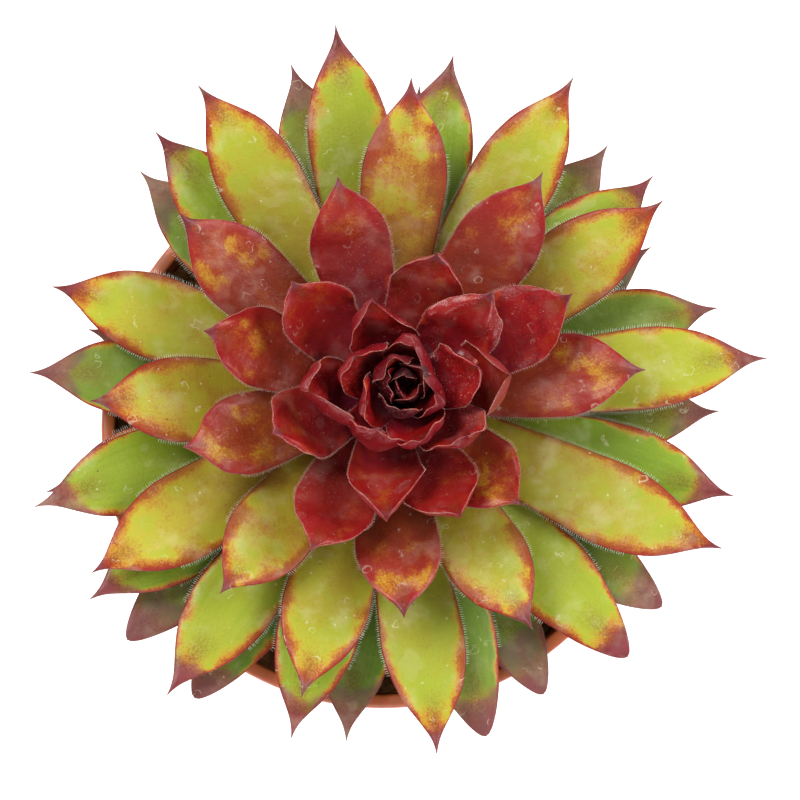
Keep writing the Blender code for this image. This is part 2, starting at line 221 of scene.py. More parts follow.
def mixColour(tree, share, first, second):
    sockets = {0: share, 6: first, 7: second}
    return node(tree, "ShaderNodeMix", sockets, data_type="RGBA").outputs[2]


def grain(tree, vector, scale, detail=2.0, rough=0.5):
    return node(tree, "ShaderNodeTexNoise", {"Vector": vector, "Scale": scale, "Detail": detail,
                                             "Roughness": rough}).outputs["Fac"]


def ramp(tree, value, stops):
    made = node(tree, "ShaderNodeValToRGB", {"Fac": value})
    elements = made.color_ramp.elements
    while len(elements) < len(stops):
        elements.new(0.5)
    for element, (place, colour) in zip(elements, stops):
        element.position = place
        element.color = colour
    return made.outputs["Color"]


def newGroup(name, inputs, outputs):
    tree = bpy.data.node_groups.new(name, "ShaderNodeTree")
    for socketName, default in inputs:
        socket = tree.interface.new_socket(socketName, in_out="INPUT", socket_type="NodeSocketFloat")
        socket.default_value = default
    for socketName, kind in outputs:
        tree.interface.new_socket(socketName, in_out="OUTPUT", socket_type="NodeSocket" + kind)
    return tree, tree.nodes.new("NodeGroupInput").outputs, tree.nodes.new("NodeGroupOutput").inputs


def newMaterial(name, group, values, fixed, bump):
    material = bpy.data.materials.new(name)
    material.use_nodes = True
    tree = material.node_tree
    shader = tree.nodes["Principled BSDF"]
    paint = node(tree, "ShaderNodeGroup", node_tree=group)
    for socketName, value in values.items():
        paint.inputs[socketName].default_value = value
    tree.links.new(paint.outputs["Colour"], shader.inputs["Base Color"])
    tree.links.new(paint.outputs["Roughness"], shader.inputs["Roughness"])
    relief = node(tree, "ShaderNodeBump", {"Strength": bump[0], "Distance": bump[1],
                                           "Height": paint.outputs["Height"]})
    tree.links.new(relief.outputs["Normal"], shader.inputs["Normal"])
    for socketName, value in fixed.items():
        shader.inputs[socketName].default_value = value
    return material


# Leaf paint: yellow-green blades that redden at their margins and tips, with dried water marks
leafColours = {
    "redness": (
        (0.00, linear(173, 176, 50)), (0.14, linear(187, 173, 48)), (0.28, linear(186, 130, 38)),
        (0.42, linear(160, 74, 26)), (0.58, linear(148, 34, 22)), (0.78, linear(142, 12, 20)),
        (0.92, linear(104, 8, 16)), (1.00, linear(34, 5, 9))),
    "under": ((0.0, linear(150, 164, 78)), (0.4, linear(150, 92, 60)), (0.70, linear(134, 18, 28)),
              (0.86, linear(108, 12, 24)), (0.97, linear(44, 8, 16))),
    "brown": ((0.0, linear(130, 114, 34)), (0.25, linear(126, 78, 28)), (0.45, linear(112, 50, 26)),
              (0.75, linear(104, 28, 26))),
    # Some of these colours partly stand in for light: the darker green and the dull green for painted shade,
    # a dark purple at the bases of red leaves for painted shade, a pink for a painted sheen, and a white for
    # painted glints as well as dried marks.
    "green": linear(110, 147, 34), "purple": linear(84, 28, 40), "mauve": linear(118, 58, 66),
    "bloomAndSheen": linear(186, 92, 104), "smudge": linear(112, 62, 30), "pale": linear(224, 220, 180),
    "margin": linear(240, 190, 170), "dullShadedGreen": linear(80, 100, 54), "greyTip": linear(104, 76, 76),
    "speck": linear(46, 30, 18), "sparkle": linear(236, 206, 206), "shadeAndWaxAtBase": linear(92, 28, 50),
    "ember": linear(196, 58, 24),
}
leafInputs = ("Blotch", "Wax", "DullAndShade", "Sparkle", "Rough")
# how strongly each dried mark shows, and the size of a ring
leafMarks = {"film": 0.08, "ring": 0.42, "haze": 0.16, "dot": 0.40, "speck": 0.8, "ringRadius": 0.27,
             "ringWidth": 0.055}
leafLayers = ("along", "across", "over", "red", "green", "brown", "margin", "tip", "chance")


def leafPaint():
    tree, given, result = newGroup("leafPaint", [(name, 0.3) for name in leafInputs], paintOutputs)

    def calc(operation, a, b=0.0, clamp=False):
        return maths(tree, operation, a, b, clamp)

    def rise(low, high, value, start=0.0, end=1.0):
        return remap(tree, value, low, high, start, end)

    own = {name: node(tree, "ShaderNodeAttribute", attribute_name=name).outputs["Fac"] for name in leafLayers}
    along, red, chance = own["along"], own["red"], own["chance"]
    side = calc("ABSOLUTE", own["across"])
    edge = calc("SUBTRACT", 1.0, side)
    place = node(tree, "ShaderNodeTexCoord").outputs["Object"]
    patch = grain(tree, place, 190, 3, 0.55)
    speckle = grain(tree, place, 2600, 2, 0.65)
    streaks = grain(tree, node(tree, "ShaderNodeCombineXYZ", {
        "X": calc("MULTIPLY", along, 2.2), "Y": calc("MULTIPLY", own["across"], 7.0),
        "Z": calc("MULTIPLY", chance, 60.0)}).outputs[0], 1.5, 3, 0.6)

    # redness: the blade's own, then a stippled band at the margin that widens to the tip
    band = calc("MULTIPLY", own["margin"], calc("ADD", calc("MULTIPLY", patch, 1.7), -0.05))
    band = calc("MULTIPLY", band, rise(0.45, 0.95, along, 0.60, 2.6))
    atEdge = calc("POWER", calc("SUBTRACT", 1.0, calc("DIVIDE", edge, band), True), 2.0)
    atTip = rise(0.80, 0.99, along)
    gain = calc("SUBTRACT", 0.62, calc("MULTIPLY", red, 0.72))
    field = calc("ADD", red, calc("MULTIPLY", calc("MAXIMUM", atEdge, atTip), gain))
    field = calc("ADD", field, calc("MULTIPLY", rise(0.0, 0.05, edge, 0.45, 0.0), gain))
    base = calc("MULTIPLY", rise(0.45, 0.90, along, 1.0, 0.0), own["brown"])
    field = calc("ADD", field, calc("MULTIPLY", base, 0.10))
    field = calc("ADD", field, calc("MULTIPLY", given["Blotch"], calc("SUBTRACT", patch, 0.52)))
    field = calc("ADD", field, calc("MULTIPLY", 0.18, calc("SUBTRACT", streaks, 0.5)))
    through = calc("MULTIPLY", rise(0.40, 0.70, along), rise(0.36, 0.52, patch, 1.0, 0.0))
    field = calc("SUBTRACT", field, calc("MULTIPLY", through, calc("MULTIPLY", given["Blotch"], 0.28)))
    loose = calc("MULTIPLY", calc("MULTIPLY", field, calc("SUBTRACT", 1.0, field), True), 1.9)
    field = calc("ADD", field, calc("MULTIPLY", loose, calc("SUBTRACT", speckle, 0.5)), True)
    colour = ramp(tree, field, leafColours["redness"])
    notRed = rise(0.06, 0.36, field, 1.0, 0.0)
    # a darker green towards the base and on the lower leaves: partly the blade's own green, partly painted
    # shade
    greenAndBaseShade = calc("MULTIPLY", own["green"], calc("ADD", rise(0.3, 0.9, along, 1.15, 0.45), streaks))
    colour = mixColour(tree, calc("MULTIPLY", notRed, greenAndBaseShade, True), colour, leafColours["green"])
    tan = calc("MULTIPLY", base, rise(0.35, 0.65, patch, 0.7, 1.0))
    colour = mixColour(tree, calc("MULTIPLY", tan, rise(0.70, 0.95, field, 1.0, 0.2)), colour,
                       ramp(tree, red, leafColours["brown"]))
    # old leaves turn a dull green, painted darker as well for the shade they sit in under the rosette
    colour = mixColour(tree, calc("MULTIPLY", calc("MULTIPLY", given["DullAndShade"], 0.6), notRed), colour,
                       leafColours["dullShadedGreen"])
    # dark purple towards the base of the red leaves: partly purple wax bloom, partly painted shade where the
    # leaves overlap
    shadeAndWaxAtBase = calc("MULTIPLY", rise(0.30, 0.72, along, 1.0, 0.0), rise(0.60, 0.78, red))
    shadeAndWaxAtBase = calc("MULTIPLY", shadeAndWaxAtBase, rise(0.35, 0.60, patch, 0.25, 0.7))
    colour = mixColour(tree, shadeAndWaxAtBase, colour, leafColours["shadeAndWaxAtBase"])
    ember = calc("MULTIPLY", rise(0.55, 0.85, side), rise(0.52, 0.64, patch))
    ember = calc("MULTIPLY", ember, rise(0.60, 0.75, red, 0.0, 0.5))
    colour = mixColour(tree, ember, colour, leafColours["ember"])
    stipple = calc("MULTIPLY", rise(0.50, 0.70, speckle), rise(0.35, 0.65, patch, 0.04, 0.22))
    colour = mixColour(tree, stipple, colour, leafColours["smudge"])

    # the drawn-out tip turns purple and mauve, behind a brown smudge
    wander = calc("ADD", along, calc("MULTIPLY", calc("SUBTRACT", patch, 0.5), 0.10))
    spread = calc("MULTIPLY", 0.3, calc("SUBTRACT", 1.0, own["tip"]))
    wander = calc("ADD", wander, calc("MULTIPLY", side, spread))
    atPoint = rise(0.0, 0.05, calc("SUBTRACT", wander, own["tip"]))
    mauve = mixColour(tree, rise(0.40, 0.62, patch), leafColours["purple"], leafColours["mauve"])
    mauve = mixColour(tree, given["DullAndShade"], mauve, leafColours["greyTip"])
    smudge = rise(-0.13, -0.02, calc("SUBTRACT", along, own["tip"]))
    smudge = calc("MULTIPLY", smudge, rise(0.05, 0.6, side, 1.0, 0.0))
    smudge = calc("MULTIPLY", smudge, rise(0.35, 0.6, speckle, 0.2, 0.6))
    colour = mixColour(tree, smudge, colour, leafColours["smudge"])
    colour = mixColour(tree, calc("MULTIPLY", atPoint, 0.74), colour, mauve)

    # the underside is paler, and pinker where the leaf is red
    beneath = rise(0.0, -0.22, own["over"])
    below = ramp(tree, red, leafColours["under"])
    # pale pink patches on the underside: partly wax bloom, partly a painted sheen
    bloomAndSheen = calc("MULTIPLY", rise(0.50, 0.70, patch), rise(0.3, 0.7, red, 0.1, 0.22))
    below = mixColour(tree, bloomAndSheen, below, leafColours["bloomAndSheen"])
    colour = mixColour(tree, calc("MULTIPLY", beneath, 0.85), colour, below)

    # dried water: hazy films, rings that are mostly broken, dots and dark specks
    film = grain(tree, place, 105, 2, 0.5)
    wet = calc("MULTIPLY", rise(0.645, 0.675, film), rise(0.30, 0.60, patch, 0.3, 1.0))
    haze = rise(0.50, 0.74, grain(tree, place, 150, 3, 0.6))
    drift = node(tree, "ShaderNodeTexNoise", {"Vector": place, "Scale": 650.0, "Detail": 1.0})
    bent = node(tree, "ShaderNodeVectorMath", {0: drift.outputs["Color"], "Scale": 0.0022},
                operation="SCALE").outputs["Vector"]
    bent = node(tree, "ShaderNodeVectorMath", {0: place, 1: bent}, operation="ADD").outputs["Vector"]
    drops = node(tree, "ShaderNodeTexVoronoi", {"Vector": bent, "Scale": 330.0})
    dropShare = node(tree, "ShaderNodeSeparateColor", {0: drops.outputs["Color"]}).outputs[0]
    ring = calc("ABSOLUTE", calc("SUBTRACT", drops.outputs["Distance"], leafMarks["ringRadius"]))
    ring = rise(0.0, leafMarks["ringWidth"], ring, 1.0, 0.0)
    ring = calc("MULTIPLY", ring, rise(0.64, 0.70, dropShare))
    ring = calc("MULTIPLY", ring, rise(0.49, 0.62, grain(tree, place, 480, 1)))
    dots = node(tree, "ShaderNodeTexVoronoi", {"Vector": place, "Scale": 640.0})
    dotShare = node(tree, "ShaderNodeSeparateColor", {0: dots.outputs["Color"]}).outputs[0]
    fromDot = dots.outputs["Distance"]
    dot = calc("MULTIPLY", rise(0.08, 0.18, fromDot, 1.0, 0.0), calc("GREATER_THAN", dotShare, 0.92))
    dark = calc("MULTIPLY", rise(0.07, 0.13, fromDot, 1.0, 0.0), calc("LESS_THAN", dotShare, 0.03))
    marks = calc("ADD", calc("MULTIPLY", wet, leafMarks["film"]), calc("MULTIPLY", ring, leafMarks["ring"]))
    marks = calc("ADD", marks, calc("MULTIPLY", haze, leafMarks["haze"]))
    marks = calc("ADD", marks, calc("MULTIPLY", dot, leafMarks["dot"]), True)
    marks = calc("MULTIPLY", marks, given["Wax"])
    dried = mixColour(tree, red, leafColours["pale"], leafColours["sparkle"])
    colour = mixColour(tree, marks, colour, dried)
    colour = mixColour(tree, calc("MULTIPLY", dark, leafMarks["speck"]), colour, leafColours["speck"])
    # tiny white dots, strongest on the heart: painted glints of light
    paintedGlints = calc("MULTIPLY", rise(0.64, 0.73, grain(tree, place, 3600, 2, 0.6)), rise(0.40, 0.60, film))
    colour = mixColour(tree, calc("MULTIPLY", paintedGlints, given["Sparkle"]), colour, leafColours["sparkle"])
    line = calc("MULTIPLY", rise(0.0, 0.022, edge, 1.0, 0.0), rise(0.2, 0.7, red, 0.0, 0.5))
    line = calc("MULTIPLY", line, rise(0.38, 0.62, speckle, 0.25, 1.0))
    colour = mixColour(tree, line, colour, leafColours["margin"])

    tree.links.new(colour, result["Colour"])
    rough = calc("ADD", given["Rough"], calc("MULTIPLY", calc("SUBTRACT", patch, 0.5), 0.30))
    rough = calc("ADD", rough, calc("MULTIPLY", wet, 0.12))
    tree.links.new(calc("SUBTRACT", rough, calc("MULTIPLY", ring, 0.15), True), result["Roughness"])
    height = calc("ADD", grain(tree, place, 700, 3, 0.6), calc("MULTIPLY", speckle, 0.30))
    tree.links.new(height, result["Height"])
    return tree


leafGroup = leafPaint()
print("leaf paint ready")


# Leaf form: the curve, outline and thickness of the solids, with crumpled blades and lens-shaped sections
def between(table, number):
    for young, old in zip(table, table[1:]):
        if number <= old[0]:
            share = (number - young[0]) / (old[0] - young[0])
            return [a + (b - a) * share for a, b in zip(young[1:], old[1:])]
    return list(table[-1][1:])


def outline(along):
    widest = leafForm["widest"]
    if along > widest:
        left = (1 - along) / leafForm["taper"]
        drawnOut = min(1, max(0, (0.55 - left) / 0.4)) ** 1.2
        needle = leafForm["needle"] * min(1, left / 0.03) ** 0.5
        return math.hypot(math.sin(math.pi / 2 * left) ** (0.95 + 0.5 * drawnOut), needle)
    return 1 - 0.55 * ((widest - along) / widest) ** 1.3


def bluntOutline(along):
    past = max(0, (along - 0.8) / 0.2)
    return outline(along - 0.07 * past) * math.sqrt(1 - past ** 8)


def bulk(along):
    swell = 0.40 + 0.60 * math.sin(math.pi / 2 * min(1, along / 0.6))
    return swell * min(1, max(0, (1 - along) / 0.2)) ** 0.6


def planLeaf(number, tier, draw):
    first, last = tier["leaves"]
    reach, tipHeight, width, thickness, cup, sag = between(rosette["growth"], number)
    share = (number - first) / (last - first)
    azimuth = rosette["firstAzimuth"] + rosette["step"] * number + rosette["pushed"].get(number, 0)
    reach *= rosette["ownLength"].get(number, 1)
    hook = rosette["hooked"].get(number, 0) or draw.uniform(-rosette["hookDraw"], rosette["hookDraw"])
    rootX = max(0, tier["stem"][0] + (tier["stem"][1] - tier["stem"][0]) * share - leafForm["rootInset"])
    rootZ = tier["roots"][0] + (tier["roots"][1] - tier["roots"][0]) * share
    run, rise = reach - rootX, tipHeight - rootZ
    own = random.Random(900 + number)
    red, green, brown, margin, tip = between(rosette["paint"], number)
    x, y = axisOf(tier)
    turn = Matrix.Translation((x, y, rimHeight)) @ Matrix.Rotation(math.radians(azimuth), 4, "Z")
    return {
        "number": number, "turn": turn, "length": math.hypot(run, rise),
        "outline": bluntOutline if number in rosette["blunt"] else outline,
        "points": ((rootX, rootZ), (rootX + run / 2 + 2 * sag * rise, rootZ + rise / 2 - 2 * sag * run),
                   (reach, tipHeight)),
        "width": width * own.uniform(0.98, 1.03), "thickness": thickness, "cup": cup, "hook": hook,
        "crumple": tier["crumple"], "curl": rosette["curl"].get(number, 0),
        "fold": rosette["folded"].get(number, own.uniform(0, 0.06)),
        "twist": rosette["twisted"].get(number, own.uniform(-0.06, 0.06)),
        "layers": {"red": red + own.uniform(-0.04, 0.04) + rosette["redder"].get(number, 0),
                   "green": green * own.uniform(0.7, 1.2) + rosette["greener"].get(number, 0),
                   "brown": brown * own.uniform(0.6, 1.2), "margin": margin * own.uniform(0.8, 1.3),
                   "tip": tip + own.uniform(-0.02, 0.02), "chance": own.random()},
    }


def leafPoint(leaf, along, across, over):
    half = leaf["width"] / 2 * leaf["outline"](along)
    (rootX, rootZ), (bendX, bendZ), (tipX, tipZ) = leaf["points"]
    middleX = (1 - along) ** 2 * rootX + 2 * along * (1 - along) * bendX + along ** 2 * tipX
    middleZ = (1 - along) ** 2 * rootZ + 2 * along * (1 - along) * bendZ + along ** 2 * tipZ
    slopeX = (1 - along) * (bendX - rootX) + along * (tipX - bendX)
    slopeZ = (1 - along) * (bendZ - rootZ) + along * (tipZ - bendZ)
    slope = math.hypot(slopeX, slopeZ)
    lens = abs(over) ** leafForm["lens"]
    skin = leafForm["above"] * lens if over > 0 else -leafForm["below"] * lens
    lift = leaf["thickness"] * bulk(along) * skin
    far = max(0, (along - 0.45) / 0.55)
    bend = leaf["cup"] * across ** 2 + leaf["fold"] * far * across ** 4 + leaf["twist"] * far * across
    lift += half * bend
    lift += leaf["curl"] * leaf["length"] * far ** 2
    spot = Vector((along * leaf["length"] / 7, across * half / 5, leaf["number"] * 3.7))
    waves = 1.6 * noise.noise(spot) + 0.5 * noise.noise(spot * 2.7)
    waves += 1.2 * across ** 2 * noise.noise(spot * 1.9 + Vector((0, across * 2, 9)))
    lift += leaf["crumple"] * min(1, along / 0.15) * min(1, (1 - along) / 0.12) * waves
    sway = leaf["hook"] * max(0, (along - leafForm["hookFrom"]) / leafForm["hookSpan"]) ** 2
    return leaf["turn"] @ Vector((middleX - lift * slopeZ / slope, half * across + sway,
                                  middleZ + lift * slopeX / slope)) * mm


def leafBlank():
    bm = bmesh.new()
    layers = {name: bm.verts.layers.float.new(name) for name in leafLayers}
    bmesh.ops.create_uvsphere(bm, u_segments=leafMesh["around"], v_segments=leafMesh["along"], radius=1)
    for vert in bm.verts:
        ring = math.hypot(vert.co.x, vert.co.y)
        turn = math.acos(max(-1, min(1, vert.co.z))) / math.pi
        vert[layers["along"]] = 1 - turn ** leafMesh["tipCrowding"]
        if ring > 0.001:
            vert[layers["across"]] = vert.co.x / ring
            vert[layers["over"]] = vert.co.y / ring
    return bm


def addTo(whole, part):
    mesh = bpy.data.meshes.new("part")
    part.to_mesh(mesh)
    part.free()
    whole.from_mesh(mesh)
    bpy.data.meshes.remove(mesh)


def shapeLeaf(leaf, blank):
    bm = blank.copy()
    along, across, over = (bm.verts.layers.float[name] for name in ("along", "across", "over"))
    own = [(bm.verts.layers.float[name], value) for name, value in leaf["layers"].items()]
    for vert in bm.verts:
        vert.co = leafPoint(leaf, vert[along], vert[across], vert[over])
        for layer, value in own:
            vert[layer] = value
    return bm


def axisOf(tier):
    heart = tier["node"] == "heart_leaves"
    return (rosette["x"] + rosette["heartX"] * heart, rosette["y"] + rosette["heartY"] * heart)


def makeTier(tier, draw, blank):
    upper = rimHeight + tier["roots"][0] + leafForm["rootHalf"]
    lower = rimHeight + tier["roots"][1] - leafForm["rootHalf"]
    profile = [(0, lower), (tier["stem"][1], lower), (tier["stem"][0], upper), (0, upper)]
    if tier["node"] == "old_leaves":
        profile[:1] = [(0, 58.4), (2.5, 58.4), (4.4, 59.2), (5.0, 61), (5.0, lower - 2)]
    bm = turned(profile, 32)
    layers = {name: bm.verts.layers.float.new(name) for name in leafLayers}
    x, y = axisOf(tier)
    bmesh.ops.translate(bm, vec=(x * mm, y * mm, 0), verts=bm.verts)
    leaves = [planLeaf(number, tier, draw) for number in range(tier["leaves"][0], tier["leaves"][1] + 1)]
    for vert in bm.verts:
        vert[layers["over"]] = -1
        vert[layers["red"]] = leaves[-1]["layers"]["red"]
    for leaf in leaves:
        addTo(bm, shapeLeaf(leaf, blank))
    gloss = {"Specular IOR Level": 0.28, "Coat Weight": tier["coat"], "Coat Roughness": 0.20}
    material = newMaterial(tier["slot"], leafGroup, {name: tier[name] for name in leafInputs}, gloss,
                           (0.5, 0.0003))
    makePiece(tier["node"].replace("_", "."), bm, material, tier["node"])
    return leaves


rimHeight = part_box("pot")[1].z / mm
draw = random.Random(rosette["seed"])
blank = leafBlank()
leaves = [leaf for tier in tiers for leaf in makeTier(tier, draw, blank)]
blank.free()


# Cilia: white hairs that fringe the margins of all but the four innermost leaves
cilia = {"length": 0.85, "gap": 0.42, "thick": 0.06, "from": 0.10, "to": 0.76, "firstLeaf": 4}


def addHair(bm, foot, way, length, thick):
    matrix = Matrix.Translation(foot + way * length / 2) @ way.to_track_quat("Z", "Y").to_matrix().to_4x4()
    bmesh.ops.create_cone(bm, segments=3, radius1=thick, radius2=0, depth=length, cap_ends=True,
                          matrix=matrix)


def fringe(leaf):
    own = random.Random(7000 + leaf["number"])
    small = 0.35 + 0.65 * min(1, max(0, (leaf["number"] - 14) / 18))
    thick = cilia["thick"] * (0.5 + 0.5 * small) * mm
    bm = bmesh.new()
    count = int(leaf["length"] * (cilia["to"] - cilia["from"]) / (cilia["gap"] * (0.6 + 0.4 * small)))
    for side in (-1, 1):
        for index in range(count):
            along = cilia["from"] + (cilia["to"] - cilia["from"]) * (index + own.uniform(-0.15, 0.15)) / count
            foot = leafPoint(leaf, along, side, 0)
            outward = (foot - leafPoint(leaf, along, side * 0.8, 0)).normalized()
            forward = (leafPoint(leaf, along + 0.01, side, 0) - foot).normalized()
            way = outward + forward * own.uniform(0.05, 0.35) + Vector((0, 0, own.uniform(-0.15, 0.2)))
            length = cilia["length"] * small * own.uniform(0.85, 1.1) * mm
            addHair(bm, foot - outward * 0.05 * mm, way.normalized(), length, thick)
    return bm


def makeCilia():
    material = bpy.data.materials.new("cilia")
    material.use_nodes = True
    tree = material.node_tree
    place = node(tree, "ShaderNodeTexCoord").outputs["Object"]
    inward = node(tree, "ShaderNodeVectorMath", {0: place, 1: (rosette["x"] * mm, rosette["y"] * mm, 0.11)},
                  operation="DISTANCE").outputs["Value"]
    colour = ramp(tree, remap(tree, inward, 0.030, 0.045),
                  ((0.0, linear(232, 176, 170)), (1.0, linear(252, 250, 238))))
    tint = maths(tree, "MULTIPLY", grain(tree, place, 900), 0.3)
    colour = mixColour(tree, tint, colour, linear(236, 214, 184))
    shader = tree.nodes["Principled BSDF"]
    tree.links.new(colour, shader.inputs["Base Color"])
    tree.links.new(remap(tree, grain(tree, place, 400), 0, 1, 0.35, 0.6), shader.inputs["Roughness"])
    bm = bmesh.new()
    for leaf in leaves:
        if leaf["number"] >= cilia["firstLeaf"]:
            addTo(bm, fringe(leaf))
    makePiece("cilia", bm, material, None)


makeCilia()

# Pot: moulded plastic with a stepped collar, a beaded rim and drain holes
pot = {"height": 90, "rim": 52.5, "base": 37.5, "wall": 1.3, "floor": 2.2, "collar": 15, "step": 1.6,
       "foot": 2.5, "lip": 1.3, "holes": 8, "holeRadius": 3.5, "holeCircle": 25, "channelDeep": 1.0,
       "channelWide": 5, "sides": 128}


def wallRadius(height):
    return pot["base"] + (pot["rim"] - pot["step"] - pot["base"]) * height / pot["height"]


def innerRadius(height):
    return wallRadius(height) - pot["wall"] + (pot["step"] if height > pot["height"] - pot["collar"] else 0)


def potProfile():
    top, rim, foot = pot["height"], pot["rim"], pot["foot"]
    step = top - pot["collar"]
    points = [(0, 0), (4, 0), (30, 0), (pot["base"] - foot, 0)]
    for turn in range(1, 5):                            # the foot is rounded
        angle = math.radians(18 * turn)
        points.append((pot["base"] - foot + foot * math.sin(angle) + 0.12 * turn / 5,
                       foot * (1 - math.cos(angle))))
    points += [(wallRadius(height), height) for height in (3.4, 12, 24, 36, 48, 60, 70)]
    outer = wallRadius(step) + pot["step"]
    points += [(wallRadius(step - 2.2), step - 2.2), (wallRadius(step - 1.6) + 0.15, step - 1.6),
               (outer - 0.45, step - 0.35), (outer - 0.1, step - 0.05), (outer, step + 0.3),
               (outer + 0.1, step + 1.0), (outer + 0.9, step + 8), (rim - 0.35, top - 2.9)]
    points += [(rim - 0.22, top - 2.4), (rim - 0.02, top - 1.9), (rim, top - 1.3), (rim - 0.05, top - 0.6),
               (rim - 0.22, top - 0.2), (rim - 0.55, top)]
    lip = innerRadius(top) - pot["lip"]                 # the edge is rolled inward
    points += [(lip + 0.6, top - 0.02), (lip + 0.2, top - 0.2), (lip, top - 0.6), (lip, top - 1.1),
               (lip + 0.3, top - 1.6), (innerRadius(87.2), 87.2), (innerRadius(84), 84),
               (innerRadius(step + 1.6), step + 1.6), (innerRadius(step), step)]
    points += [(innerRadius(height), height) for height in (60, 40, 20, pot["floor"] + foot)]
    points += [(innerRadius(3) - 0.6, pot["floor"] + 0.9), (innerRadius(2) - foot, pot["floor"])]
    points.append((0, pot["floor"]))
    return points


def cutDrains(piece):
    cutters = bpy.data.collections.new("drains")
    bpy.context.scene.collection.children.link(cutters)
    for number in range(pot["holes"]):
        angle = fullTurn * (number + 0.5) / pot["holes"]
        turn = Matrix.Rotation(angle, 4, "Z")
        bm = bmesh.new()
        bmesh.ops.create_cone(bm, segments=40, radius1=pot["holeRadius"] * mm, radius2=pot["holeRadius"] * mm,
                              depth=10 * mm, cap_ends=True,
                              matrix=turn @ Matrix.Translation((pot["holeCircle"] * mm, 0, 0)))
        middle = (pot["holeCircle"] + pot["base"] / 2) * mm
        size = Matrix.Diagonal((pot["base"] * mm, pot["channelWide"] * mm, 2 * pot["channelDeep"] * mm, 1))
        channel = bmesh.new()
        bmesh.ops.create_cube(channel, size=1, matrix=turn @ Matrix.Translation((middle, 0, 0)) @ size)
        for name, cutter in (("hole", bm), ("channel", channel)):
            mesh = bpy.data.meshes.new(name)
            cutter.to_mesh(mesh)
            cutter.free()
            cutters.objects.link(bpy.data.objects.new(name, mesh))
    boolean = piece.modifiers.new("drains", "BOOLEAN")
    boolean.operation, boolean.operand_type, boolean.solver = "DIFFERENCE", "COLLECTION", "EXACT"
    boolean.collection = cutters
    cut = bpy.data.meshes.new_from_object(piece.evaluated_get(bpy.context.evaluated_depsgraph_get()))
    piece.modifiers.remove(boolean)
    piece.data = cut
    for cutter in list(cutters.objects):
        bpy.data.objects.remove(cutter, do_unlink=True)
    bpy.data.collections.remove(cutters)


def potPaint():
    tree, given, result = newGroup("potPlastic", (("Rough", 0.4),), paintOutputs)
    place = node(tree, "ShaderNodeTexCoord").outputs["Object"]
    height = node(tree, "ShaderNodeSeparateXYZ", {0: place}).outputs["Z"]
    cloud = grain(tree, place, 28, 3, 0.6)
    colour = mixColour(tree, cloud, linear(172, 80, 46), linear(192, 98, 62))
    stretched = node(tree, "ShaderNodeMapping", {"Vector": place, "Scale": (1, 1, 0.06)}).outputs[0]
    scuffs = remap(tree, grain(tree, stretched, 900, 2, 0.6), 0.60, 0.72)
    scuffs = maths(tree, "MULTIPLY", scuffs, remap(tree, grain(tree, place, 60, 2), 0.45, 0.62))
    colour = mixColour(tree, maths(tree, "MULTIPLY", scuffs, 0.14), colour, linear(214, 150, 118))
    dust = maths(tree, "MULTIPLY", remap(tree, height, 0.0, 0.022, 1.0, 0.0),
                 remap(tree, grain(tree, place, 160, 4), 0.42, 0.66))
    splash = maths(tree, "MULTIPLY", remap(tree, height, 0.080, 0.090),
                   remap(tree, grain(tree, place, 260, 3), 0.55, 0.66))
    dirt = maths(tree, "ADD", maths(tree, "MULTIPLY", dust, 0.5), maths(tree, "MULTIPLY", splash, 0.35), True)
    colour = mixColour(tree, dirt, colour, linear(112, 84, 64))
    tree.links.new(colour, result["Colour"])
    rough = maths(tree, "ADD", given["Rough"], maths(tree, "MULTIPLY", dirt, 0.35))
    uneven = maths(tree, "MULTIPLY", maths(tree, "SUBTRACT", cloud, 0.5), 0.16)
    rough = maths(tree, "ADD", rough, uneven, True)
    tree.links.new(rough, result["Roughness"])
    layered = node(tree, "ShaderNodeMapping", {"Vector": place, "Scale": (0.03, 0.03, 1)}).outputs[0]
    pebble = maths(tree, "ADD", grain(tree, place, 1500, 2), grain(tree, layered, 800, 2))
    tree.links.new(maths(tree, "SUBTRACT", pebble, maths(tree, "MULTIPLY", scuffs, 0.4)), result["Height"])
    return tree


potMaterial = newMaterial("pot", potPaint(), {"Rough": 0.40}, {"Specular IOR Level": 0.5}, (0.18, 0.0001))
potPiece = makePiece("nurseryPot", turned(potProfile(), pot["sides"]), potMaterial, "pot")
cutDrains(potPiece)
potPiece.data.shade_smooth()
potPiece.data.set_sharp_from_angle(angle=math.radians(40))
print("pot cut")

# Potting mix: bark, peat crumbs and a little white perlite
soil = {"top": 80, "stemHole": 58.0, "holeRadius": 5.3, "sides": 96, "rings": 22, "lump": 1.1,
        "follow": 0.8, "seed": 41, "clear": 0.35,
        # how many, smallest and largest size, then what they are: 0 peat, 0.5 bark, 1 perlite
        "crumbs": ((700, 0.5, 1.3, 0.0), (170, 1.2, 3.2, 0.5), (60, 0.9, 2.0, 1.0))}


def soilHeight(x, y):
    far = math.hypot(x, y) / (pot["rim"] * mm)
    waves = math.sin(310 * x + 1.3) * math.cos(270 * y) + 0.6 * math.sin(520 * (x + y) + 2.0)
    rough = noise.noise(Vector((x, y, 0)) * 420) * 0.8 + noise.noise(Vector((x, y, 2)) * 1100) * 0.4
    return soil["lump"] * (waves * max(0, 1 - far ** 4) + 0.6 * rough * max(0, 1 - far ** 12)) * mm


